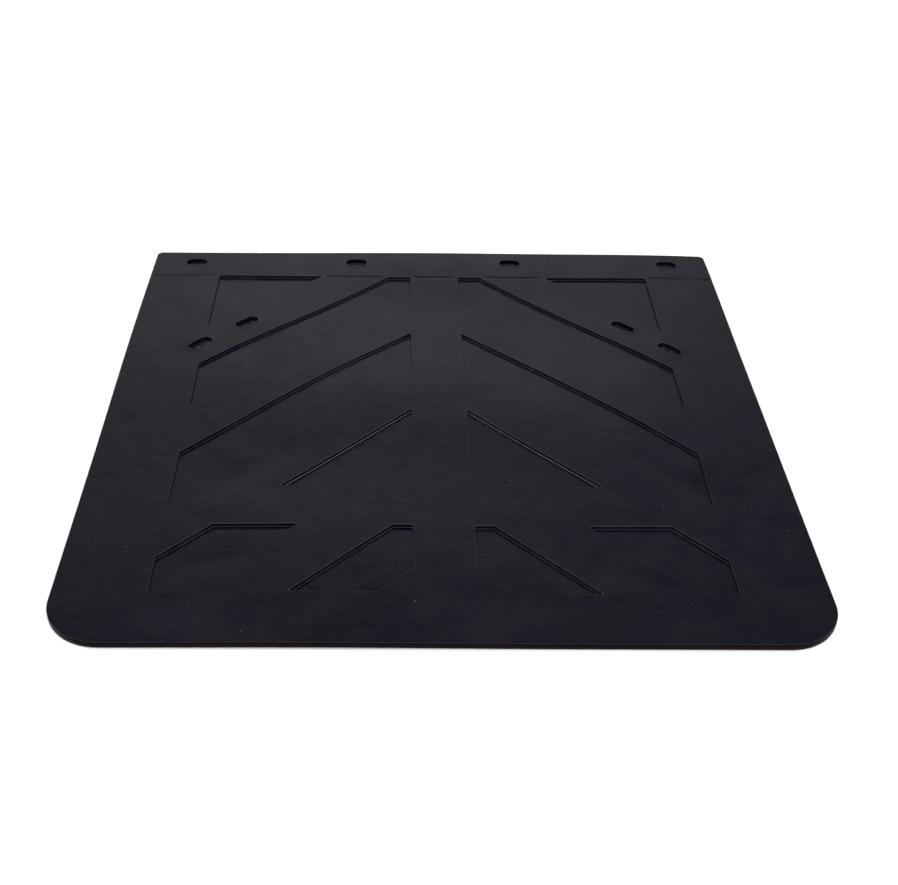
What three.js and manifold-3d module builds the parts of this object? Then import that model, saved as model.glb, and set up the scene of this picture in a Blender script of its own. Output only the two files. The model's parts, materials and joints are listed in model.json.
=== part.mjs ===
// A moulded rubber mud flap for a truck or trailer.
// It lies on its back: the patterned face looks up (+Z) and the mounting band is at the far end (+Y).
// Millimetres. The origin is the centre of the back face.
//
// The sheet is one rubber moulding with a fabric ply sealed inside it, near the back.
// It bends along its whole length, so it is divided into segments that meet at flex lines across it.

import * as THREE from 'three';
import { mergeVertices } from 'three/addons/utils/BufferGeometryUtils.js';
import Module from 'manifold-3d';

// ---------- driving dimensions ----------

// Outline
const WIDTH = 610;
const LENGTH = 610;
const TOP_CORNER_RADIUS = 6;
const BOTTOM_CORNER_RADIUS = 45;

// Thickness, and the heights of the ply and the pocket floors above the back face
const THICKNESS = 6.35;
const POCKET_FLOOR = 3.175;
const PLY_BOTTOM = 0.9;
const PLY_TOP = 1.4;

// The ply stops short of the edges and slots, so that rubber seals it in
const PLY_EDGE_MARGIN = 6;
const PLY_SLOT_MARGIN = 4;

// Mounting band: the plain strip that the hanger clamps, and its row of slots
const BAND_HEIGHT = 54;
const BAND_SLOT_DROP = 23;
const BAND_SLOT_LENGTH = 22.5;
const BAND_SLOT_WIDTH = 15;
const BAND_SLOT_OFFSETS = [84.5, 259.4];

// Diagonal slots, on the rib below the first pocket
const RIB_SLOT_LENGTH = 27;
const RIB_SLOT_WIDTH = 12;
const RIB_SLOT_OFFSETS = [192.5, 234.5];
const RIB_SLOT_LINE = -37;

// Chevron pockets: 45 degree channels, cut off at a centre spine and at the side margins
const SPINE_HALF_WIDTH = 25.4;
const POCKET_OUTER_EDGE = 231;
const CHEVRON_PITCH = 140;
const CHANNEL_DROP = 70;
const FIRST_CHANNEL_LOWER = -66;
const LAST_CHANNEL_SHIFT = 8;
const UPPER_FIELD_BOTTOM = 423;
const LOWER_FIELD_TOP = 474;
const LOWER_FIELD_BOTTOM = 555.5;

// Flex lines, as distances down from the top edge, and the gap left at each
const FLEX_LINES = [94, 176, 267, 365, 463, 562];
const FLEX_GAP = 0.3;

const ARC_SEGMENTS = 8;
const CUT_CLEARANCE = 5;

// ---------- solids ----------

const wasm = await Module();
wasm.setup();

// Turns a closed three.js geometry into a solid that can be cut and joined.
function solidFrom(geometry) {
  geometry.deleteAttribute('normal');
  geometry.deleteAttribute('uv');
  const merged = mergeVertices(geometry, 1e-4);
  return new wasm.Manifold(new wasm.Mesh({
    numProp: 3,
    vertProperties: new Float32Array(merged.attributes.position.array),
    triVerts: new Uint32Array(merged.index.array),
  }));
}

// Turns a solid back into a three.js geometry.
function geometryFrom(solid) {
  const mesh = solid.getMesh();
  const geometry = new THREE.BufferGeometry();
  geometry.setAttribute('position', new THREE.BufferAttribute(new Float32Array(mesh.vertProperties), 3));
  geometry.setIndex(new THREE.BufferAttribute(new Uint32Array(mesh.triVerts), 1));
  geometry.computeVertexNormals();
  return geometry;
}

// Extrudes a plan shape between two heights.
function prism(shape, bottom, top) {
  const options = { depth: top - bottom, bevelEnabled: false, curveSegments: ARC_SEGMENTS };
  const geometry = new THREE.ExtrudeGeometry(shape, options);
  geometry.translate(0, 0, bottom);
  return solidFrom(geometry);
}

// Row Y of a line that lies a given distance down from the top edge.
function yOf(down) {
  return LENGTH / 2 - down;
}

// ---------- plan shapes ----------

// The flap's outline, moved in from the edge by a margin.
function outline(margin = 0) {
  const x = WIDTH / 2 - margin;
  const y = LENGTH / 2 - margin;
  const top = Math.max(TOP_CORNER_RADIUS - margin, 1);
  const bottom = BOTTOM_CORNER_RADIUS - margin;
  const shape = new THREE.Shape();
  shape.moveTo(-x + bottom, -y);
  shape.lineTo(x - bottom, -y);
  shape.absarc(x - bottom, -y + bottom, bottom, -Math.PI / 2, 0);
  shape.lineTo(x, y - top);
  shape.absarc(x - top, y - top, top, 0, Math.PI / 2);
  shape.lineTo(-x + top, y);
  shape.absarc(-x + top, y - top, top, Math.PI / 2, Math.PI);
  shape.lineTo(-x, -y + bottom);
  shape.absarc(-x + bottom, -y + bottom, bottom, Math.PI, 1.5 * Math.PI);
  return shape;
}

// A rectangle across the flap between two distances down from the top edge.
function strip(from, to) {
  return rectangle(-WIDTH, WIDTH, from, to);
}

function rectangle(left, right, from, to) {
  return new THREE.Shape([
    new THREE.Vector2(left, yOf(from)),
    new THREE.Vector2(left, yOf(to)),
    new THREE.Vector2(right, yOf(to)),
    new THREE.Vector2(right, yOf(from)),
  ]);
}

// A slot with round ends, turned by an angle about its centre.
function slot(x, down, length, width, angle) {
  const radius = width / 2;
  const reach = length / 2 - radius;
  const alongX = reach * Math.cos(angle);
  const alongY = reach * Math.sin(angle);
  const y = yOf(down);
  const shape = new THREE.Shape();
  shape.absarc(x + alongX, y + alongY, radius, angle - Math.PI / 2, angle + Math.PI / 2);
  shape.absarc(x - alongX, y - alongY, radius, angle + Math.PI / 2, angle + 1.5 * Math.PI);
  return shape;
}

// The eight slots' plan shapes, each grown by a margin all round.
function slotShapes(margin = 0) {
  const shapes = [];
  for (const side of [-1, 1]) {
    for (const offset of BAND_SLOT_OFFSETS) {
      const length = BAND_SLOT_LENGTH + 2 * margin;
      const width = BAND_SLOT_WIDTH + 2 * margin;
      shapes.push(slot(side * offset, BAND_SLOT_DROP, length, width, 0));
    }
    for (const offset of RIB_SLOT_OFFSETS) {
      const length = RIB_SLOT_LENGTH + 2 * margin;
      const width = RIB_SLOT_WIDTH + 2 * margin;
      shapes.push(slot(side * offset, offset + RIB_SLOT_LINE, length, width, -side * Math.PI / 4));
    }
  }
  return shapes;
}

// A 45 degree channel on one side of the spine, which falls away outwards.
// Its edges are where the distance down, less the distance from the centre line, is upper and lower.
function channel(side, upper, lower) {
  return new THREE.Shape([
    new THREE.Vector2(0, yOf(upper)),
    new THREE.Vector2(0, yOf(lower)),
    new THREE.Vector2(side * WIDTH, yOf(lower + WIDTH)),
    new THREE.Vector2(side * WIDTH, yOf(upper + WIDTH)),
  ]);
}

// ---------- pockets and slots ----------

// Each pocket is a channel seen through a rectangular window.
function pocketList() {
  const lower = (index) => FIRST_CHANNEL_LOWER + index * CHEVRON_PITCH;
  const upper = (index) => lower(index) - CHANNEL_DROP;
  return [
    { upper: -WIDTH, lower: lower(0), top: BAND_HEIGHT, bottom: LENGTH },
    { upper: upper(1), lower: lower(1), top: BAND_HEIGHT, bottom: LENGTH },
    { upper: upper(2), lower: lower(2), top: BAND_HEIGHT, bottom: LENGTH },
    { upper: upper(3), lower: lower(3), top: BAND_HEIGHT, bottom: UPPER_FIELD_BOTTOM },
    { upper: upper(3), lower: lower(3), top: LOWER_FIELD_TOP, bottom: LOWER_FIELD_BOTTOM },
    {
      upper: upper(4) + LAST_CHANNEL_SHIFT,
      lower: lower(4) + LAST_CHANNEL_SHIFT,
      top: LOWER_FIELD_TOP,
      bottom: LOWER_FIELD_BOTTOM,
    },
  ];
}

function pocketSolids() {
  const cutTop = THICKNESS + CUT_CLEARANCE;
  const solids = [];
  for (const side of [-1, 1]) {
    for (const pocket of pocketList()) {
      const inner = side * SPINE_HALF_WIDTH;
      const outer = side * POCKET_OUTER_EDGE;
      const left = Math.min(inner, outer);
      const right = Math.max(inner, outer);
      const window = prism(rectangle(left, right, pocket.top, pocket.bottom), POCKET_FLOOR, cutTop);
      const groove = prism(channel(side, pocket.upper, pocket.lower), POCKET_FLOOR, cutTop);
      solids.push(window.intersect(groove));
    }
  }
  return solids;
}

// Cutters for every slot, right through the sheet.
function slotSolids(margin = 0) {
  return slotShapes(margin).map((shape) => prism(shape, -CUT_CLEARANCE, THICKNESS + CUT_CLEARANCE));
}

function cut(solid, cutters) {
  return cutters.reduce((left, cutter) => left.subtract(cutter), solid);
}

// ---------- the whole sheet ----------

// The fabric ply, with room for rubber round its edges and round every slot.
function makePly() {
  const sheet = prism(outline(PLY_EDGE_MARGIN), PLY_BOTTOM, PLY_TOP);
  return cut(sheet, slotSolids(PLY_SLOT_MARGIN));
}

// The rubber, with its pockets and slots, moulded round the ply.
function makeRubber(ply) {
  const sheet = prism(outline(), 0, THICKNESS);
  return cut(sheet, [ply, ...pocketSolids(), ...slotSolids()]);
}

// ---------- segments ----------

const rubberMaterial = new THREE.MeshStandardMaterial({ color: 0x2d2d30, roughness: 0.62, metalness: 0 });
const plyMaterial = new THREE.MeshStandardMaterial({ color: 0x8c8474, roughness: 0.95, metalness: 0 });

const wholePly = makePly();
const wholeRubber = makeRubber(wholePly);

function segmentName(index) {
  if (index === 0) return 'mounting_band';
  if (index === FLEX_LINES.length) return 'bottom_strip';
  return `panel_${index}`;
}

// The part of a solid between two flex lines, short of each by half the gap.
function segmentOf(solid, index) {
  const isFirst = index === 0;
  const isLast = index === FLEX_LINES.length;
  const from = isFirst ? -CUT_CLEARANCE : FLEX_LINES[index - 1] + FLEX_GAP / 2;
  const to = isLast ? LENGTH + CUT_CLEARANCE : FLEX_LINES[index] - FLEX_GAP / 2;
  return solid.intersect(prism(strip(from, to), -CUT_CLEARANCE, THICKNESS + CUT_CLEARANCE));
}

function segmentMesh(solid, index, material, pieceName) {
  const mesh = new THREE.Mesh(geometryFrom(segmentOf(solid, index)), material);
  mesh.name = `${segmentName(index)}_${pieceName}`;
  return mesh;
}

const mudFlap = new THREE.Group();
for (let index = 0; index <= FLEX_LINES.length; index += 1) {
  mudFlap.add(segmentMesh(wholeRubber, index, rubberMaterial, 'rubber'));
  mudFlap.add(segmentMesh(wholePly, index, plyMaterial, 'fabric_ply'));
}

export default mudFlap;
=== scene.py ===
# The looks of a moulded rubber mud flap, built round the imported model.
# The sheet is worked out in millimetres, in the CAD's own frame, and becomes metres as each mesh is made.
# Materials, lights and the camera are in metres.

import json
import math

import bmesh
import bpy
import numpy as np
from mathutils import Matrix, Vector, geometry, noise

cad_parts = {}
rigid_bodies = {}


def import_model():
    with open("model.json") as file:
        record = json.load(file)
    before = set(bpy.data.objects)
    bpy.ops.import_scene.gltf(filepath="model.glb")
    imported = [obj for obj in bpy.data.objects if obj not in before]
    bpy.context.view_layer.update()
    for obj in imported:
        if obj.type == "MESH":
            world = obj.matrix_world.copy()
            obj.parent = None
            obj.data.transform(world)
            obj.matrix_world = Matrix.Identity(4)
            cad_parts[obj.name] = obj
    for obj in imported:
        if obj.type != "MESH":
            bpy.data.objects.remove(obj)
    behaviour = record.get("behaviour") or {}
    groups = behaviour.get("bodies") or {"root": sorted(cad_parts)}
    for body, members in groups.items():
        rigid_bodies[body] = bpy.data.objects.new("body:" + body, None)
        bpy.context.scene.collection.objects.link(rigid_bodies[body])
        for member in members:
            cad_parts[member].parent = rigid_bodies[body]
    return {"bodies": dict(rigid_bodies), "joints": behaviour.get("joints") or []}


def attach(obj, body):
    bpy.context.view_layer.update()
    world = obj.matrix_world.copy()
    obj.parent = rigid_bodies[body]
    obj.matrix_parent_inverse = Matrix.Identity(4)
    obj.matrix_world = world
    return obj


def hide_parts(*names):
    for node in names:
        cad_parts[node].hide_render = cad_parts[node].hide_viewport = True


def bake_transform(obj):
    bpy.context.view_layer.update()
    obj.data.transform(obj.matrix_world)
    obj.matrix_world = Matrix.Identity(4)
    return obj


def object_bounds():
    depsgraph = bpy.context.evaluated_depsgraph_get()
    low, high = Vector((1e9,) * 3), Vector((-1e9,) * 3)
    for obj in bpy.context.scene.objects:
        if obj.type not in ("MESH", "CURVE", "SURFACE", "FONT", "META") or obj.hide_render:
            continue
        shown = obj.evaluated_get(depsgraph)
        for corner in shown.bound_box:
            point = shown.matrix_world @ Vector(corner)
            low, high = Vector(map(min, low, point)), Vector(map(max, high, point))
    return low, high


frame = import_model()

MM = 0.001
cad_low, cad_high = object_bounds()
bodies = list(frame["bodies"])
joints = frame["joints"]

# ---------- sizes from the frame ----------

HALF_WIDTH = cad_high.x / MM
HALF_LENGTH = cad_high.y / MM
THICKNESS = cad_high.z / MM
FLEX_LINES = [joint["pos_m"][1] / MM for joint in joints]

# ---------- sizes of the moulding ----------
# Heights, tops, bottoms and drops are measured down from the top edge, and offsets and outer edges from
# X = 0. A channel's lower side is given where it would cross X = 0.

TOP_CORNER_RADIUS = 6
BOTTOM_CORNER_RADIUS = 45
POCKET_DEPTH = THICKNESS / 2

BAND_HEIGHT = 54
SPINE_HALF_WIDTH = 25.4
POCKET_OUTER_EDGE = 231
CHEVRON_PITCH = 140
CHANNEL_DROP = 70
FIRST_CHANNEL_LOWER = -66
LAST_CHANNEL_SHIFT = 8
UPPER_FIELD_BOTTOM = 423
LOWER_FIELD_TOP = 474
LOWER_FIELD_BOTTOM = 555.5

BAND_SLOT_DROP = 23
BAND_SLOT_SIZE = (22.5, 15)
BAND_SLOT_OFFSETS = (84.5, 259.4)
RIB_SLOT_SIZE = (27, 12)
RIB_SLOT_OFFSETS = (192.5, 234.5)
RIB_SLOT_LINE = -37

PLY_BOTTOM = 0.9
PLY_TOP = 1.4
PLY_EDGE_MARGIN = 6
PLY_SLOT_MARGIN = 4

# ---------- mesh spacing ----------

GRID_STEP = 7
GRID_CLEARANCE = 3.6
CLEARANCE_BLOCK = 500
OUTLINE_STEP = 6
POCKET_STEP = 2
POCKET_CORNER_RADIUS = 0.9
CORNER_SEGMENTS = 4
BIG_CORNER_SEGMENTS = 20
SLOT_END_SEGMENTS = 14
WITNESS_STEP = 3

# How far above the mounting band's lower boundary the bending part of the sheet begins.
BAND_CUT_MARGIN = 2.6

# Farther out than any part of the sheet.
FAR = 1000

# The output of delaunay_2d_cdt that leaves out triangles outside the edges, and its tolerances.
TRIANGLES_INSIDE = 1
FILL_TOLERANCE = 1e-5
SECTION_TOLERANCE = 1e-6

# Tolerances of a cut through the finished mesh, in metres.
CUT_TOLERANCE = 1e-7
MERGE_DISTANCE = 1e-6

# Keeps a division by a length that may be nothing from failing.
TINY = 1e-9

# ---------- sections of the moulding ----------
# Each is a list of rows from the face down to the back, and a row is
# (distance in from the edge, height from the face, how much of a rim it is, how much painted glint lies on
# it). A rim is lightened with edge wear and a painted highlight, and the painted glint is a highlight
# painted at a wall's foot.
# For a pocket or a slot, in is toward its middle. A row that is all rim is also given the ragged flash.

ALL_RIM = 1.0
POCKET_PROFILE = [
    (-1.4, 0.0, 0.0, 0.0),
    (-1.0, 0.0, 0.0, 0.0),
    (-0.5, 0.06, 0.3, 0.0),
    (-0.14, 0.02, ALL_RIM, 0.0),
    (0.03, -0.25, 0.3, 0.0),
    (0.07, -0.6, 0.0, 0.0),
    (0.12, -POCKET_DEPTH + 0.75, 0.0, 0.0),
    (0.18, -POCKET_DEPTH + 0.45, 0.0, 0.4),
    (0.32, -POCKET_DEPTH + 0.2, 0.0, 1.0),
    (0.55, -POCKET_DEPTH + 0.06, 0.0, 0.2),
    (0.9, -POCKET_DEPTH, 0.0, 0.0),
    (1.6, -POCKET_DEPTH, 0.0, 0.0),
]
SLOT_PROFILE = [
    (-1.6, 0.0, 0.0, 0.0),
    (-0.75, 0.14, 0.3, 0.0),
    (-0.25, 0.1, ALL_RIM, 0.0),
    (0.0, -0.2, 0.35, 0.0),
    (0.06, -0.8, 0.0, 0.0),
    (0.12, -THICKNESS + 1.5, 0.0, 0.0),
    (0.3, -THICKNESS + 1.1, 0.0, 0.0),
    (0.6, -THICKNESS + 1.0, 0.0, 0.0),
    (0.9, -THICKNESS + 1.0, 0.0, 0.0),
    (0.5, -THICKNESS + 0.45, 0.0, 0.0),
    (-0.3, -THICKNESS, 0.0, 0.0),
    (-1.2, -THICKNESS, 0.0, 0.0),
]
EDGE_PROFILE = [
    (1.3, 0.0, 0.0, 0.0),
    (0.5, -0.02, 0.2, 0.0),
    (0.16, -0.12, 0.65, 0.0),
    (0.06, -0.4, 0.3, 0.0),
    (0.1, -1.6, 0.0, 0.0),
    (0.1, -THICKNESS / 2 + 0.3, 0.0, 0.0),
    (0.0, -THICKNESS / 2, 0.3, 0.0),
    (0.12, -THICKNESS / 2 - 0.3, 0.0, 0.0),
    (0.16, -THICKNESS + 0.9, 0.0, 0.0),
    (0.3, -THICKNESS + 0.35, 0.0, 0.0),
    (0.7, -THICKNESS, 0.0, 0.0),
    (1.6, -THICKNESS, 0.0, 0.0),
]
# The rows of EDGE_PROFILE between which the sheet's outer wall is, apart from its face and back.
EDGE_WALL_ROWS = (2, 10)
# The ply's own heights are from the back.
PLY_PROFILE = [(0.0, PLY_TOP, 0.0, 0.0), (0.0, PLY_BOTTOM, 0.0, 0.0)]

# A web of rubber at the foot of each slot's upper side, which hides the floor under the slot so that the
# slot looks dark: its rows of SLOT_PROFILE, how far it reaches beyond them, and how far that varies.
WEB_ROWS = (8, 9)
BAND_SLOT_WEB = 4.8
RIB_SLOT_WEB = 2.2
WEB_UNEVENNESS = 0.25

# How much painted highlight lies at the feet of each pocket's slanted walls, from the mounting band down,
# and what share of it lies at the feet of the walls along X and Y, where the side lights would glint less.
POCKET_FOOT_GLINT = (0.05, 0.05, 0.2, 1.0, 0.3, 0.25)
LEVEL_WALL_GLINT = 0.1

# The faint groove that the mould leaves along the mounting band's lower boundary, how much of its depth it
# has on average and how far that varies, and how far it stops short of pockets and edges.
WITNESS_HALF_WIDTH = 0.5
WITNESS_DEPTH = 0.36
WITNESS_SHARE = 0.75
WITNESS_UNEVENNESS = 0.6
WITNESS_MARGIN = 1

# The ragged flash along some stretches of rim: which values of its patch pattern give those stretches.
FLASH_PATCH_RANGE = (0.12, 0.45)
FLASH_HEIGHT = 0.26
FLASH_UNEVENNESS = 0.42

# Patterns of smooth random values, as (grain along X, grain along Y, which pattern).
WEB_PATTERN = (5, 9, 5)
WITNESS_PATTERN = (21, 21, 7)
FLASH_PATCH_PATTERN = (38, 38, 3)
FLASH_PATTERN = (2.3, 2.3, 9)

# Where the sheet bulges off the surface it lies on, as (X, Y, reach along X, reach along Y, height).
SWELLS = [
    (270, 270, 165, 195, 6.9),
    (-50, 35, 200, 105, 7.1),
    (190, -25, 105, 145, 6.2),
    (-225, 150, 130, 120, 4.3),
    (-95, -190, 130, 115, 3.1),
    (10, 295, 185, 80, 5.3),
]

# Where the face is dished, as (X, Y, reach along, reach across, direction in radians, depth).
DENTS = [
    (212, -112, 34, 15, -0.78, 1.4),
    (146, -228, 40, 20, -0.55, 1.0),
    (-184, -210, 28, 17, 0.5, 1.0),
    (-200, -264, 48, 24, 0.1, 1.0),
    (-172, -104, 42, 13, 0.78, 0.6),
    (70, -262, 60, 16, 0.0, 0.5),
    (244, -190, 22, 50, 0.1, 0.9),
    (-262, 96, 20, 46, 0.0, 0.6),
    (118, 16, 40, 12, -0.78, 0.5),
    (-70, 118, 46, 13, 0.78, 0.5),
]

# ---------- colours and gloss ----------

BODY_DARK = (0.0008, 0.0003, 0.0046)
BODY_LIGHT = (0.0030, 0.0019, 0.0080)
BODY_WARM = (0.0058, 0.0036, 0.0064)
SCUFF = (0.010, 0.009, 0.012)
SPECK = (0.07, 0.07, 0.07)
# Painted highlight for the feet of the pocket walls, standing in for the glint of the lights.
PAINTED_FOOT_GLINT = (0.13, 0.125, 0.13)
# Rims lightened by edge wear and by a painted highlight along the arris.
WORN_EDGE_AND_HIGHLIGHT = (0.050, 0.048, 0.052)
EDGE_STAIN = (0.0070, 0.0046, 0.0040)
EDGE_STAIN_SHARE = 0.9
THIN_STAIN = 0.6
RUBBER_IOR = 1.5
FACE_SPECULAR = 0.14
# The outer wall's copy of the rubber has its sheen nearly off: painted shade that darkens the wall.
SHADED_EDGE_SPECULAR = 0.015
STREAK_SCALE = (24, 120, 24)

# How much of a dot is its solid middle.
DOT_CORE = 0.6

THREAD_DARK = (0.10, 0.085, 0.06)
THREAD_LIGHT = (0.32, 0.28, 0.22)
THREAD_SCALE = 160
THREAD_WAVER = 0.4
THREAD_HEIGHT = 0.0002
PLY_ROUGHNESS = 0.9

# The Mix node's colour inputs and output, which share their names with its other ones.
MIX_FIRST = 6
MIX_SECOND = 7
MIX_RESULT = 2

# ---------- floor, light and camera ----------
# Lengths are metres and angles are degrees.

FLOOR_REACH = 12.0
FLOOR_DROP = 0.0005
FLOOR_COLOUR = (0.92, 0.92, 0.92)
FLOOR_ROUGHNESS = 0.9

SUN_TILT = 34
SUN_STRENGTH = 2.8
SUN_SPREAD = 80
STRIP_PLACES = {"left_strip": (-2.0, 0.1, 1.3), "right_strip": (2.0, 0.1, 1.3)}
STRIP_SIZE = (0.8, 2.0)
STRIP_POWER = 18

# The world's light is an even base, more of it in front and at the sides, and a broad glow low at the back.
# The ranges are of the direction's Y or X, and say where the light changes over.
WORLD_BASE = 0.22
FRONT_BASE = 0.2
FRONT_RANGE = (-0.55, 0.0)
SIDE_BASE = 0.25
SIDE_RANGE = (0.5, 0.85)
GLOW_STRENGTH = 0.88
GLOW_DIRECTION = (-0.02, 0.0, 0.53)
GLOW_SPREAD = (0.31, 1000.0, 0.2)
GLOW_REACH = 1.85
FRONT_GLOW = 0.6
GLOW_RANGE = (-0.2, 0.2)

CAMERA_PLACE = (-0.0448, -1.0058, 0.6975)
CAMERA_PITCH = 35.812
CAMERA_YAW = 3.147
CAMERA_ROLL = 2.45
CAMERA_LENS = 52.415
CAMERA_SENSOR = 36


def smooth_step(low, high, value):
    """0 below a range and 1 above it, with a smooth change between."""
    share = min(1.0, max(0.0, (value - low) / (high - low)))
    return share * share * (3 - 2 * share)


def pattern_value(pattern, x, y):
    """A pattern's smooth random value at a plan point, from -1 to 1."""
    grain_x, grain_y, number = pattern
    return noise.noise(Vector((x / grain_x, y / grain_y, number)))


# ---------- plan outlines ----------

def y_of(down):
    """The Y of a line a given distance down from the top edge."""
    return HALF_LENGTH - down


def rounded(corners, radii, steps, arc_segments):
    """A loop of plan points round convex corners, with arcs at them and evenly spaced points between them.
    steps gives the number of spaces along each side, so that loops with the same steps can be bridged."""
    arcs = []
    count = len(corners)
    for index in range(count):
        corner = Vector(corners[index])
        before = (Vector(corners[index - 1]) - corner).normalized()
        after = (Vector(corners[(index + 1) % count]) - corner).normalized()
        half_angle = before.angle(after) / 2
        radius = radii[index]
        reach = radius / math.tan(half_angle)
        centre = corner + (before + after).normalized() * (radius / math.sin(half_angle))
        start = corner + before * reach - centre
        sweep = math.pi - 2 * half_angle
        turn = -math.copysign(sweep, before.x * after.y - before.y * after.x)
        segments = arc_segments[index]
        arc = []
        for n in range(segments + 1):
            angle = turn * n / segments
            arc.append(centre + Matrix.Rotation(angle, 2) @ start)
        arcs.append(arc)
    points = []
    for index, arc in enumerate(arcs):
        following = arcs[(index + 1) % count][0]
        points += arc
        for n in range(1, steps[index]):
            points.append(arc[-1].lerp(following, n / steps[index]))
    return [(p.x, p.y) for p in points]


def side_steps(corners, spacing=POCKET_STEP):
    """How many spaces each side of a polygon is divided into."""
    count = len(corners)
    lengths = [(Vector(corners[(i + 1) % count]) - Vector(corners[i])).length for i in range(count)]
    return [max(2, round(length / spacing)) for length in lengths]


def outline_loop(inset):
    """The sheet's outline, moved in."""
    x = HALF_WIDTH - inset
    y = HALF_LENGTH - inset
    corners = [(-x, -y), (x, -y), (x, y), (-x, y)]
    bottom = BOTTOM_CORNER_RADIUS - inset
    top = max(1.0, TOP_CORNER_RADIUS - inset)
    spaces = round(2 * HALF_WIDTH / OUTLINE_STEP)
    segments = [BIG_CORNER_SEGMENTS, BIG_CORNER_SEGMENTS, CORNER_SEGMENTS, CORNER_SEGMENTS]
    return rounded(corners, [bottom, bottom, top, top], [spaces] * 4, segments)


def clipped(polygon, normal, limit):
    """The part of a convex polygon where the point times the normal is at most the limit."""
    kept = []
    for index, point in enumerate(polygon):
        previous = polygon[index - 1]
        here = point[0] * normal[0] + point[1] * normal[1] - limit
        there = previous[0] * normal[0] + previous[1] * normal[1] - limit
        if here * there < 0:
            share = there / (there - here)
            kept.append(tuple(p + (q - p) * share for p, q in zip(previous, point)))
        if here <= 0:
            kept.append(point)
    return kept


def pocket_corners(pocket, side, inset):
    """A pocket's corners: a 45 degree channel seen through a rectangular window, with every edge moved in.
    They start at the uppermost corner, or the one farthest right of the uppermost two."""
    slope = inset * math.sqrt(2)
    sides = [
        ((-1, 0), -SPINE_HALF_WIDTH - inset),
        ((1, 0), POCKET_OUTER_EDGE - inset),
        ((0, 1), y_of(pocket["top"]) - inset),
        ((0, -1), -y_of(pocket["bottom"]) - inset),
        ((1, 1), y_of(pocket["upper"]) - slope),
        ((-1, -1), -y_of(pocket["lower"]) - slope),
    ]
    polygon = [(-FAR, -FAR), (FAR, -FAR), (FAR, FAR), (-FAR, FAR)]
    for normal, limit in sides:
        polygon = clipped(polygon, normal, limit)
    if side < 0:
        polygon = [(-x, y) for x, y in reversed(polygon)]
    start = max(range(len(polygon)), key=lambda n: (round(polygon[n][1], 3), polygon[n][0]))
    return polygon[start:] + polygon[:start]


def pocket_list():
    """The six pockets on each side, from the mounting band down. Each has the distances down from the top
    edge of its window's top and bottom, and of where its channel's two sides would cross X = 0."""
    def channel(index, top, bottom, shift=0):
        lower = FIRST_CHANNEL_LOWER + index * CHEVRON_PITCH + shift
        return {"upper": lower - CHANNEL_DROP, "lower": lower, "top": top, "bottom": bottom}

    past_sheet = 2 * HALF_LENGTH
    first = channel(0, BAND_HEIGHT, past_sheet)
    first["upper"] = -past_sheet
    return [
        first,
        channel(1, BAND_HEIGHT, past_sheet),
        channel(2, BAND_HEIGHT, past_sheet),
        channel(3, BAND_HEIGHT, UPPER_FIELD_BOTTOM),
        channel(3, LOWER_FIELD_TOP, LOWER_FIELD_BOTTOM),
        channel(4, LOWER_FIELD_TOP, LOWER_FIELD_BOTTOM, LAST_CHANNEL_SHIFT),
    ]


def pocket_loop(pocket, side, inset):
    """A pocket's outline, moved in."""
    corners = pocket_corners(pocket, side, inset)
    steps = side_steps(pocket_corners(pocket, side, 0))
    count = len(corners)
    return rounded(corners, [POCKET_CORNER_RADIUS] * count, steps, [CORNER_SEGMENTS] * count)


def slot_loop(x, y, size, angle, inset, web=0.0):
    """A slot with round ends, turned about its centre. The web, which hides the floor under the slot so that
    the slot looks dark, reaches in from its upper side.
    """
    radius = size[1] / 2 - inset
    reach = (size[0] - size[1]) / 2
    points = []
    for end in (0, 1):
        for n in range(SLOT_END_SEGMENTS + 1):
            turn = math.pi * (end - 0.5 + n / SLOT_END_SEGMENTS)
            along = reach * (1 - 2 * end) + radius * math.cos(turn)
            across = radius * math.sin(turn)
            upward = max(0.0, math.sin(turn + angle))
            px = x + along * math.cos(angle) - across * math.sin(angle)
            py = y + along * math.sin(angle) + across * math.cos(angle)
            ragged = 1 + WEB_UNEVENNESS * pattern_value(WEB_PATTERN, px, y)
            points.append((px, py - web * ragged * upward))
    return points


def slot_loops(inset, webbed=False):
    """The outlines of all the slots, moved in, with or without their webs."""
    band_web = BAND_SLOT_WEB if webbed else 0.0
    rib_web = RIB_SLOT_WEB if webbed else 0.0
    loops = []
    for side in (-1, 1):
        for offset in BAND_SLOT_OFFSETS:
            loops.append(slot_loop(side * offset, y_of(BAND_SLOT_DROP), BAND_SLOT_SIZE, 0, inset, band_web))
        for offset in RIB_SLOT_OFFSETS:
            y = y_of(offset + RIB_SLOT_LINE)
            loops.append(slot_loop(side * offset, y, RIB_SLOT_SIZE, -side * math.pi / 4, inset, rib_web))
    return loops


def witness_spans():
    """(start X, end X) of the stretches of rib that the band's lower boundary crosses."""
    low = y_of(BAND_HEIGHT) - WITNESS_HALF_WIDTH
    high = y_of(BAND_HEIGHT) + WITNESS_HALF_WIDTH
    taken = []
    for side in (-1, 1):
        for pocket in pocket_list():
            rim = pocket_corners(pocket, side, POCKET_PROFILE[0][0])
            crossed = clipped(clipped(rim, (0, 1), high), (0, -1), -low)
            if crossed:
                taken.append((min(x for x, y in crossed), max(x for x, y in crossed)))
    border = HALF_WIDTH - EDGE_PROFILE[0][0]
    edges = [-border, *[x for span in sorted(taken) for x in span], border]
    return [(a + WITNESS_MARGIN, b - WITNESS_MARGIN) for a, b in zip(edges[::2], edges[1::2])]


# ---------- the sheet's own unevenness ----------

def lift(x, y):
    """How far the sheet stands off the surface it lies on."""
    return sum(
        height * math.exp(-(((x - cx) / reach_x) ** 2) - ((y - cy) / reach_y) ** 2)
        for cx, cy, reach_x, reach_y, height in SWELLS
    )


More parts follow.
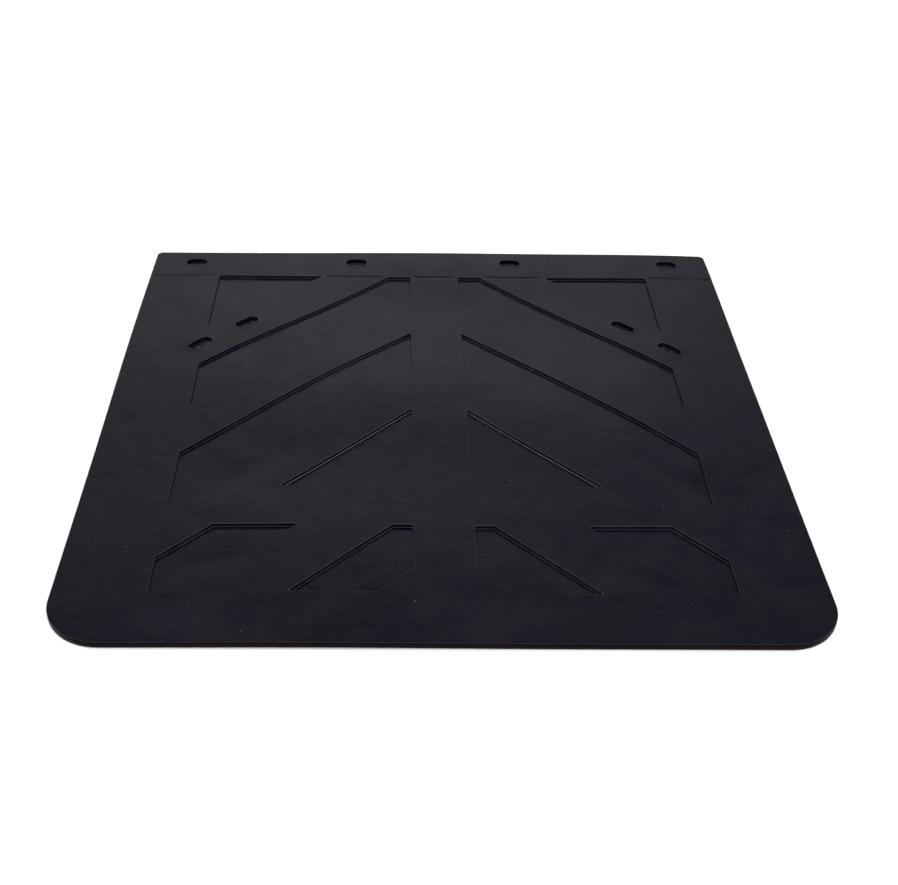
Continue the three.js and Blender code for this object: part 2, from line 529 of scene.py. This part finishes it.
def sag(x, y):
    """How far the face is dished below its own level."""
    total = 0.0
    for cx, cy, along, across, turn, depth in DENTS:
        u = (x - cx) * math.cos(turn) + (y - cy) * math.sin(turn)
        v = (y - cy) * math.cos(turn) - (x - cx) * math.sin(turn)
        total += depth * math.exp(-((u / along) ** 2) - ((v / across) ** 2))
    return total


def flash(x, y):
    """The height of the thin ragged flash that a worn mould leaves here and there along a rim."""
    patch = smooth_step(*FLASH_PATCH_RANGE, pattern_value(FLASH_PATCH_PATTERN, x, y))
    return patch * (FLASH_HEIGHT + FLASH_UNEVENNESS * pattern_value(FLASH_PATTERN, x, y))


def witness_depth(x, y):
    """The depth of the faint groove along the mounting band's lower boundary."""
    return WITNESS_DEPTH * (WITNESS_SHARE + WITNESS_UNEVENNESS * pattern_value(WITNESS_PATTERN, x, y))


# ---------- mesh building ----------

class Moulding:
    """Vertices and faces of one closed moulding, with a value of rim edge wear and painted highlight, and a
    value of painted highlight at a wall's foot, for each vertex.
    """

    def __init__(self):
        self.points = []
        self.wear_and_highlight = []
        self.painted_glint = []
        self.faces = []
        self.outer_wall = range(0)

    def ring(self, loop, height, wear_and_highlight=0.0, painted_glint=0.0):
        """Adds a vertex at each point of a loop. Returns their numbers."""
        first = len(self.points)
        for x, y in loop:
            self.points.append((x, y, height))
            self.wear_and_highlight.append(wear_and_highlight)
            self.painted_glint.append(painted_glint)
        return list(range(first, len(self.points)))

    def bridge(self, rings):
        """Joins rings in turn with faces. Returns the first and the last."""
        for upper, lower in zip(rings, rings[1:]):
            count = len(upper)
            for n in range(count):
                m = (n + 1) % count
                self.faces.append((upper[n], upper[m], lower[m], lower[n]))
        return rings[0], rings[-1]

    def wall(self, loop_at, profile, top, slanted_glint=None):
        """Rings down a profile, bridged in turn. The slanted glint is how much of the profile's painted
        highlight at a wall's foot lies on sides that run aslant. Returns the first and last ring."""
        rings = []
        for inset, height, wear_and_highlight, painted_glint in profile:
            ring = self.ring(loop_at(inset), top + height, wear_and_highlight, painted_glint)
            if slanted_glint is not None:
                # The painted highlight is made stronger on slanted walls, where the side lights would glint.
                for index, slant in zip(ring, slants(loop_at(inset))):
                    share = LEVEL_WALL_GLINT + (1 - LEVEL_WALL_GLINT) * slant
                    self.painted_glint[index] *= slanted_glint * share
            rings.append(ring)
        return self.bridge(rings)

    def slot(self, number):
        """One slot's wall, with a web of rubber across its foot that hides the floor under the slot, so that
        the slot looks dark. Returns the first and last ring.
        """
        rings = []
        for row, (inset, height, wear_and_highlight, painted_glint) in enumerate(SLOT_PROFILE):
            loop = slot_loops(inset, row in WEB_ROWS)[number]
            rings.append(self.ring(loop, THICKNESS + height, wear_and_highlight, painted_glint))
        return self.bridge(rings)

    def crease(self, start, end, y, height):
        """Three rows of vertices along a shallow groove, as open rows for fill to join up."""
        count = max(2, round((end - start) / WITNESS_STEP))
        rows = []
        for offset in (WITNESS_HALF_WIDTH, 0.0, -WITNESS_HALF_WIDTH):
            trim = 0.0 if offset else WITNESS_HALF_WIDTH
            row = []
            for n in range(count + 1):
                x = start + trim + (end - start - 2 * trim) * n / count
                depth = 0.0 if offset else witness_depth(x, y)
                row += self.ring([(x, y + offset)], height - depth)
            rows.append(row)
        return rows

    def fill(self, outer, holes, height, creases=()):
        """Fills a flat region between an outer ring and some holes with a fine, even mesh."""
        rings = [outer, *holes]
        loops = [np.array([self.points[i][:2] for i in ring]) for ring in rings]
        starts = np.vstack(loops)
        ends = np.vstack([np.roll(loop, -1, axis=0) for loop in loops])
        owner = [i for ring in rings for i in ring]
        edges = []
        for ring in rings:
            first = len(edges)
            edges += [(first + n, first + (n + 1) % len(ring)) for n in range(len(ring))]
        fixed = starts
        for row in creases:
            first = len(owner)
            edges += [(first + n, first + n + 1) for n in range(len(row) - 1)]
            owner += row
            fixed = np.vstack([fixed, [self.points[i][:2] for i in row]])
        spots = grid_points(loops[0])
        spots = spots[inside(starts, ends, spots)]
        spots = spots[clear_of(fixed, spots)]
        owner += self.ring([tuple(p) for p in spots], height)
        plan = [Vector(p) for p in np.vstack([fixed, spots])]
        for triangle in triangles_inside(plan, edges, starts, ends, FILL_TOLERANCE):
            self.faces.append(tuple(owner[i] for i in triangle))


def slants(loop):
    """How far each point's side runs off the X and Y directions, from 0 along them to 1 halfway between."""
    result = []
    for n in range(len(loop)):
        run = Vector(loop[(n + 1) % len(loop)]) - Vector(loop[n - 1])
        result.append(2 * abs(run.x * run.y) / max(run.length_squared, TINY))
    return result


def grid_points(loop):
    """Staggered rows of points over a loop's box."""
    low = loop.min(0)
    high = loop.max(0)
    rows = np.arange(low[1] + GRID_STEP / 2, high[1], GRID_STEP)
    columns = np.arange(low[0] + GRID_STEP / 2, high[0], GRID_STEP)
    x, y = np.meshgrid(columns, rows)
    x[1::2] += GRID_STEP / 2
    return np.stack([x.ravel(), y.ravel()], axis=1)


def inside(starts, ends, spots):
    """Which spots lie inside the loops made by some edges, by counting crossings."""
    result = np.zeros(len(spots), bool)
    for (x0, y0), (x1, y1) in zip(starts, ends):
        if y0 == y1:
            continue
        spans = (y0 > spots[:, 1]) != (y1 > spots[:, 1])
        result ^= spans & (spots[:, 0] < (x1 - x0) * (spots[:, 1] - y0) / (y1 - y0) + x0)
    return result


def triangles_inside(plan, edges, starts, ends, tolerance):
    """Triangles between plan points that keep to some edges and fill the region these close off."""
    _, _, triangles, origin, _, _ = geometry.delaunay_2d_cdt(plan, edges, [], TRIANGLES_INSIDE, tolerance)
    found = [tuple(origin[i][0] for i in corners) for corners in triangles]
    middles = np.array([[sum(plan[i][axis] for i in corners) / 3 for axis in (0, 1)] for corners in found])
    return [corners for corners, wanted in zip(found, inside(starts, ends, middles)) if wanted]


def clear_of(edge_points, spots):
    """Which spots stand clear of every edge point."""
    result = np.ones(len(spots), bool)
    for block in np.array_split(np.arange(len(spots)), max(1, len(spots) // CLEARANCE_BLOCK)):
        gaps = np.linalg.norm(spots[block, None] - edge_points[None], axis=2)
        result[block] = gaps.min(1) > GRID_CLEARANCE
    return result


def make_moulding():
    """The whole rubber sheet, as one closed surface."""
    sheet = Moulding()
    edge_top, edge_bottom = sheet.wall(outline_loop, EDGE_PROFILE, THICKNESS)
    sheet.outer_wall = range(EDGE_WALL_ROWS[0] * len(edge_top), EDGE_WALL_ROWS[1] * len(edge_top))
    holes_top = []
    for side in (-1, 1):
        for pocket, painted_glint in zip(pocket_list(), POCKET_FOOT_GLINT):
            rim, foot = sheet.wall(
                lambda inset: pocket_loop(pocket, side, inset), POCKET_PROFILE, THICKNESS, painted_glint
            )
            holes_top.append(rim)
            sheet.fill(foot, [], THICKNESS - POCKET_DEPTH)
    holes_bottom = []
    for number in range(len(slot_loops(0))):
        rim, foot = sheet.slot(number)
        holes_top.append(rim)
        holes_bottom.append(foot)
    creases = []
    for start, end in witness_spans():
        creases += sheet.crease(start, end, y_of(BAND_HEIGHT), THICKNESS)
    sheet.fill(edge_top, holes_top, THICKNESS, creases)
    sheet.fill(edge_bottom, holes_bottom, 0.0)
    return sheet


def make_ply():
    """The fabric ply inside the sheet, cut back from the edges and round the slots."""
    sheet = Moulding()
    edge_top, edge_bottom = sheet.wall(lambda inset: outline_loop(inset + PLY_EDGE_MARGIN), PLY_PROFILE, 0)
    rims = []
    feet = []
    for number in range(len(slot_loops(0))):
        rim, foot = sheet.wall(lambda inset: slot_loops(inset - PLY_SLOT_MARGIN)[number], PLY_PROFILE, 0)
        rims.append(rim)
        feet.append(foot)
    sheet.fill(edge_top, rims, PLY_TOP)
    sheet.fill(edge_bottom, feet, PLY_BOTTOM)
    return sheet


def bmesh_of(sheet):
    """The sheet in metres, lying unevenly, with its face dished, flash raised on its rims and its outer wall
    given the second material, a darker copy of the rubber that paints shade on the wall."""
    mesh = bmesh.new()
    wear_and_highlight = mesh.verts.layers.float.new("arris_wear_and_highlight")
    painted_glint = mesh.verts.layers.float.new("foot_painted_glint")
    for (x, y, z), w, b in zip(sheet.points, sheet.wear_and_highlight, sheet.painted_glint):
        ragged = flash(x, y) if w == ALL_RIM else 0.0
        dent = sag(x, y) if z > PLY_TOP else 0.0
        vertex = mesh.verts.new((x * MM, y * MM, (z + lift(x, y) - dent + ragged) * MM))
        vertex[wear_and_highlight] = w
        vertex[painted_glint] = b
    mesh.verts.ensure_lookup_table()
    for number, corners in enumerate(sheet.faces):
        face = mesh.faces.new([mesh.verts[i] for i in corners])
        face.smooth = True
        face.material_index = int(number in sheet.outer_wall)
    bmesh.ops.recalc_face_normals(mesh, faces=mesh.faces)
    return mesh


def cut_off(mesh, y, keep_above):
    """Cuts a closed mesh across at a Y in metres, drops one side and closes the cut with flat faces."""
    cut = bmesh.ops.bisect_plane(
        mesh,
        geom=mesh.verts[:] + mesh.edges[:] + mesh.faces[:],
        dist=CUT_TOLERANCE,
        plane_co=(0, y, 0),
        plane_no=(0, -1 if keep_above else 1, 0),
        clear_outer=True,
    )
    verts = [item for item in cut["geom_cut"] if isinstance(item, bmesh.types.BMVert)]
    bmesh.ops.remove_doubles(mesh, verts=verts, dist=MERGE_DISTANCE)
    edges = [edge for edge in mesh.edges if edge.is_boundary]
    section = list({vertex: None for edge in edges for vertex in edge.verts})
    index = {vertex: n for n, vertex in enumerate(section)}
    plan = [Vector((vertex.co.x / MM, vertex.co.z / MM)) for vertex in section]
    links = [(index[edge.verts[0]], index[edge.verts[1]]) for edge in edges]
    starts = np.array([plan[a] for a, b in links])
    ends = np.array([plan[b] for a, b in links])
    for triangle in triangles_inside(plan, links, starts, ends, SECTION_TOLERANCE):
        mesh.faces.new([section[i] for i in triangle])
    for edge in edges:
        edge.smooth = False


def in_scene(name, data):
    """A new object in the scene."""
    made = bpy.data.objects.new(name, data)
    bpy.context.scene.collection.objects.link(made)
    return made


def object_from(mesh, name, materials):
    """An object made from a mesh, which keeps each vertex's rest place for the materials' patterns."""
    data = bpy.data.meshes.new(name)
    bmesh.ops.recalc_face_normals(mesh, faces=mesh.faces)
    mesh.to_mesh(data)
    mesh.free()
    rest = data.attributes.new("rest_place", "FLOAT_VECTOR", "POINT")
    places = np.array([v.co for v in data.vertices], np.float32)
    rest.data.foreach_set("vector", places.ravel())
    for material in materials:
        data.materials.append(material)
    return in_scene(name, data)


# ---------- materials ----------

def opaque(colour):
    """A colour with its alpha, or another node's output as it is."""
    return (*colour, 1) if isinstance(colour, tuple) else colour


class Nodes:
    """Short ways of adding nodes to the node tree of a material or of the world."""

    def __init__(self, tree):
        self.tree = tree

    def add(self, kind, inputs=None, **settings):
        """Adds a node with some settings, and a value or another node's output at some of its inputs."""
        node = self.tree.nodes.new(kind)
        for name, value in settings.items():
            setattr(node, name, value)
        for socket, value in (inputs or {}).items():
            self.feed(node.inputs[socket], value)
        return node

    def feed(self, socket, value):
        if isinstance(value, bpy.types.NodeSocket):
            self.tree.links.new(value, socket)
        else:
            socket.default_value = value

    def attribute(self, name, output="Fac"):
        return self.add("ShaderNodeAttribute", attribute_name=name).outputs[output]

    def maths(self, operation, first, second=0.0):
        return self.add("ShaderNodeMath", {0: first, 1: second}, operation=operation).outputs["Value"]

    def vector_maths(self, operation, first, second=(0, 0, 0), output="Vector"):
        return self.add("ShaderNodeVectorMath", {0: first, 1: second}, operation=operation).outputs[output]

    def ranged(self, value, low, high, out_low, out_high, easing="LINEAR"):
        """A value moved from the range low to high to the range out_low to out_high, and kept in it."""
        inputs = {"Value": value, "From Min": low, "From Max": high, "To Min": out_low, "To Max": out_high}
        return self.add("ShaderNodeMapRange", inputs, interpolation_type=easing).outputs["Result"]

    def mixed(self, factor, first, second):
        """One colour turning into another."""
        inputs = {"Factor": factor, MIX_FIRST: opaque(first), MIX_SECOND: opaque(second)}
        return self.add("ShaderNodeMix", inputs, data_type="RGBA").outputs[MIX_RESULT]

    def clouds(self, place, scale, detail, roughness=0.5):
        inputs = {"Vector": place, "Scale": scale, "Detail": detail, "Roughness": roughness}
        return self.add("ShaderNodeTexNoise", inputs).outputs["Fac"]

    def dots(self, place, scale, reach, share):
        """Scattered round dots, in a given share of the cells of a pattern."""
        cells = self.add("ShaderNodeTexVoronoi", {"Vector": place, "Scale": scale})
        split = self.add("ShaderNodeSeparateColor", {"Color": cells.outputs["Color"]})
        near = self.ranged(cells.outputs["Distance"], reach * DOT_CORE, reach, 1, 0)
        chosen = self.maths("LESS_THAN", split.outputs[0], share)
        return self.maths("MULTIPLY", near, chosen)

    def bump(self, height, strength, distance, below=None):
        """A height laid over another bump, or over the surface itself."""
        inputs = {"Height": height, "Strength": strength, "Distance": distance}
        if below is not None:
            inputs["Normal"] = below
        return self.add("ShaderNodeBump", inputs).outputs["Normal"]


def new_material(name):
    """A new material, its nodes and its shader."""
    material = bpy.data.materials.new(name)
    material.use_nodes = True
    return material, Nodes(material.node_tree), material.node_tree.nodes["Principled BSDF"]


def rubber_material(name, specular, stain):
    """Black rubber: a dark bluish body, cloudy smears in the sheen, fine grain, specks, pinholes, a patchy
    painted highlight at the feet of pocket walls, and rims lightened by edge wear and by a painted
    highlight.
    The stain is how much of the brownish tone of a handled edge it takes, where it lies thickest."""
    material, nodes, shader = new_material(name)
    shader.inputs["IOR"].default_value = RUBBER_IOR
    shader.inputs["Specular IOR Level"].default_value = specular
    place = nodes.attribute("rest_place", "Vector")

    # Each pattern's scale is per metre.
    wide = nodes.clouds(place, 6.5, 5, 0.55)
    patches = nodes.clouds(place, 26, 5, 0.6)
    streaks = nodes.clouds(nodes.vector_maths("MULTIPLY", place, STREAK_SCALE), 1, 4, 0.6)
    dust = nodes.clouds(place, 900, 2, 0.6)
    powder = nodes.clouds(place, 140, 3)
    specks = nodes.dots(place, 70, 0.05, 0.30)
    pinholes = nodes.dots(place, 55, 0.06, 0.35)

    # How much of each colour lies on the ones before it.
    light = nodes.ranged(wide, 0.36, 0.64, 0, 1)
    warm = nodes.ranged(patches, 0.45, 0.68, 0, 0.75)
    scuffed = nodes.ranged(streaks, 0.56, 0.76, 0, 0.3)
    stained = nodes.ranged(patches, 0.3, 0.65, stain * THIN_STAIN, stain)
    dusty = nodes.ranged(dust, 0.68, 0.78, 0, 0.5)
    # A patchy painted highlight at the feet of the pocket walls.
    patchy = nodes.ranged(powder, 0.25, 0.6, 0.45, 1)
    glinted = nodes.maths("MULTIPLY", nodes.attribute("foot_painted_glint"), patchy)
    # Rims lightened by edge wear and by a painted highlight along the arris.
    worn_and_highlit = nodes.ranged(nodes.attribute("arris_wear_and_highlight"), 0.3, 1.0, 0, 0.8)
    colour = nodes.mixed(light, BODY_DARK, BODY_LIGHT)
    colour = nodes.mixed(warm, colour, BODY_WARM)
    colour = nodes.mixed(scuffed, colour, SCUFF)
    colour = nodes.mixed(stained, colour, EDGE_STAIN)
    colour = nodes.mixed(specks, colour, SPECK)
    colour = nodes.mixed(dusty, colour, SPECK)
    colour = nodes.mixed(glinted, colour, PAINTED_FOOT_GLINT)
    colour = nodes.mixed(worn_and_highlit, colour, WORN_EDGE_AND_HIGHLIGHT)
    nodes.feed(shader.inputs["Base Color"], colour)

    wide_smears = nodes.ranged(wide, 0.35, 0.65, 0.0, 0.08)
    patchy_smears = nodes.ranged(patches, 0.35, 0.68, 0.14, 0.27)
    streaky_smears = nodes.ranged(streaks, 0.5, 0.75, 0.0, 0.05)
    smears = nodes.maths("ADD", nodes.maths("ADD", wide_smears, patchy_smears), streaky_smears)
    nodes.feed(shader.inputs["Roughness"], smears)

    # Bumps from the widest to the finest, each on the one before it.
    waves = nodes.bump(nodes.clouds(place, 17, 2), 0.7, 0.0017)
    mottle = nodes.bump(patches, 0.6, 0.0009, waves)
    lines = nodes.bump(streaks, 0.15, 0.00022, mottle)
    peel = nodes.bump(nodes.clouds(place, 240, 3), 0.5, 0.0003, lines)
    pitted = nodes.bump(nodes.maths("SUBTRACT", 1, pinholes), 0.6, 0.0005, peel)
    grain = nodes.bump(nodes.clouds(place, 1500, 2), 0.2, 0.00008, pitted)
    nodes.feed(shader.inputs["Normal"], grain)
    return material


def ply_material():
    """A plain weave of pale threads."""
    material, nodes, shader = new_material("woven_ply")
    shader.inputs["Roughness"].default_value = PLY_ROUGHNESS
    place = nodes.attribute("rest_place", "Vector")
    inputs = {"Vector": place, "Scale": THREAD_SCALE, "Distortion": THREAD_WAVER}
    across = nodes.add("ShaderNodeTexWave", inputs, bands_direction="X")
    along = nodes.add("ShaderNodeTexWave", inputs, bands_direction="Y")
    weave = nodes.maths("MAXIMUM", across.outputs["Fac"], along.outputs["Fac"])
    nodes.feed(shader.inputs["Base Color"], nodes.mixed(weave, THREAD_DARK, THREAD_LIGHT))
    nodes.feed(shader.inputs["Normal"], nodes.bump(weave, 1, THREAD_HEIGHT))
    return material


def floor_material():
    material, _, shader = new_material("studio_floor")
    shader.inputs["Base Color"].default_value = opaque(FLOOR_COLOUR)
    shader.inputs["Roughness"].default_value = FLOOR_ROUGHNESS
    return material


# ---------- pieces ----------

def bend_zones():
    """(upper Y, lower Y) of the stretch that bends at each flex line, from the mounting band down.
    The stretches meet midway between the flex lines, where the sheet follows one body alone."""
    edges = [y_of(BAND_HEIGHT) + BAND_CUT_MARGIN]
    edges += [(a + b) / 2 for a, b in zip(FLEX_LINES, FLEX_LINES[1:])]
    edges.append(-HALF_LENGTH)
    return list(zip(edges, edges[1:]))


def divided(whole, zones):
    """The sheet cut into the mounting band's piece and one for each stretch that bends."""
    band = whole.copy()
    cut_off(band, zones[0][0] * MM, keep_above=True)
    parts = [band]
    for number, (upper, lower) in enumerate(zones):
        part = whole.copy()
        cut_off(part, upper * MM, keep_above=False)
        if number < len(zones) - 1:
            cut_off(part, lower * MM, keep_above=True)
        parts.append(part)
    whole.free()
    return parts


def make_pieces(sheet, materials, slot, suffix):
    """One piece for each body, which stands for that body's CAD node. The first piece is attached to its
    body.
    """
    zones = bend_zones()
    parts = divided(bmesh_of(sheet), zones)
    for number, (body, part) in enumerate(zip(bodies, parts)):
        piece = object_from(part, f"{body}_{suffix}", materials)
        if number == 0:
            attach(piece, body)
        else:
            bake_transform(piece)
        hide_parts(f"{body}_{slot}")


# ---------- floor, light and camera ----------

def make_floor():
    """A wide plain floor, just under the sheet."""
    mesh = bpy.data.meshes.new("studio_floor")
    corners = [(-1, -1), (1, -1), (1, 1), (-1, 1)]
    mesh.from_pydata([(x * FLOOR_REACH, y * FLOOR_REACH, 0) for x, y in corners], [], [(0, 1, 2, 3)])
    mesh.materials.append(floor_material())
    floor = in_scene("studio_floor", mesh)
    floor.location.z = -FLOOR_DROP


def strip_light(name, place):
    """A long soft light aimed at the middle of the sheet."""
    data = bpy.data.lights.new(name, "AREA")
    data.shape = "RECTANGLE"
    data.size, data.size_y = STRIP_SIZE
    data.energy = STRIP_POWER
    light = in_scene(name, data)
    light.location = place
    light.rotation_euler = (-Vector(place)).to_track_quat("-Z", "Y").to_euler()


def soft_sun(name):
    """Even light from a wide patch of sky, tilted toward the front."""
    data = bpy.data.lights.new(name, "SUN")
    data.energy = SUN_STRENGTH
    data.angle = math.radians(SUN_SPREAD)
    sun = in_scene(name, data)
    sun.rotation_euler = (math.radians(SUN_TILT), 0, 0)


def studio_world():
    """Even soft light from all round, with a broad glow low at the back and a weaker one at the front."""
    world = bpy.data.worlds.new("studio")
    world.use_nodes = True
    nodes = Nodes(world.node_tree)
    direction = nodes.add("ShaderNodeTexCoord").outputs["Generated"]
    split = nodes.add("ShaderNodeSeparateXYZ", {"Vector": direction})
    sideways = nodes.maths("ABSOLUTE", split.outputs["X"])

    offset = nodes.vector_maths("SUBTRACT", direction, GLOW_DIRECTION)
    away = nodes.vector_maths("LENGTH", nodes.vector_maths("DIVIDE", offset, GLOW_SPREAD), output="Value")
    glow = nodes.ranged(away, 0, GLOW_REACH, GLOW_STRENGTH, 0, "SMOOTHSTEP")
    glow_share = nodes.ranged(split.outputs["Y"], *GLOW_RANGE, FRONT_GLOW, 1, "SMOOTHSTEP")

    front = WORLD_BASE + FRONT_BASE
    base = nodes.ranged(split.outputs["Y"], *FRONT_RANGE, front, WORLD_BASE, "SMOOTHSTEP")
    side_base = nodes.ranged(sideways, *SIDE_RANGE, 0, SIDE_BASE, "SMOOTHSTEP")
    shared_glow = nodes.maths("MULTIPLY", glow, glow_share)
    total = nodes.maths("ADD", shared_glow, nodes.maths("ADD", base, side_base))

    background = world.node_tree.nodes["Background"]
    background.inputs["Color"].default_value = (1, 1, 1, 1)
    nodes.feed(background.inputs["Strength"], total)
    bpy.context.scene.world = world


def camera_turn():
    """The camera's axes, for its pitch below level, its yaw from the Y axis and its roll."""
    pitch = math.radians(CAMERA_PITCH)
    yaw = math.radians(CAMERA_YAW)
    roll = math.radians(CAMERA_ROLL)
    forward = Vector((math.sin(yaw) * math.cos(pitch), math.cos(yaw) * math.cos(pitch), -math.sin(pitch)))
    level = Vector((math.cos(yaw), -math.sin(yaw), 0))
    up = level.cross(forward)
    right = math.cos(roll) * level + math.sin(roll) * up
    tilted = math.cos(roll) * up - math.sin(roll) * level
    return Matrix((right, tilted, -forward)).transposed()


def make_camera():
    lens = bpy.data.cameras.new("camera")
    lens.sensor_fit = "HORIZONTAL"
    lens.sensor_width = CAMERA_SENSOR
    lens.lens = CAMERA_LENS
    camera = in_scene("camera", lens)
    camera.matrix_world = Matrix.Translation(CAMERA_PLACE) @ camera_turn().to_4x4()
    bpy.context.scene.camera = camera


# ---------- the scene ----------

face_rubber = rubber_material("moulded_rubber", FACE_SPECULAR, 0.0)
# The outer wall gets a darker copy of the rubber, its sheen nearly off: painted shade.
shaded_edge_rubber = rubber_material("moulded_rubber_shaded_edge", SHADED_EDGE_SPECULAR, EDGE_STAIN_SHARE)
make_pieces(make_moulding(), [face_rubber, shaded_edge_rubber], "rubber", "moulding")
make_pieces(make_ply(), [ply_material()], "fabric_ply", "woven_ply")

make_floor()
soft_sun("overhead_light")
for strip_name, strip_place in STRIP_PLACES.items():
    strip_light(strip_name, strip_place)
studio_world()
bpy.context.scene.view_settings.view_transform = "Standard"
make_camera()
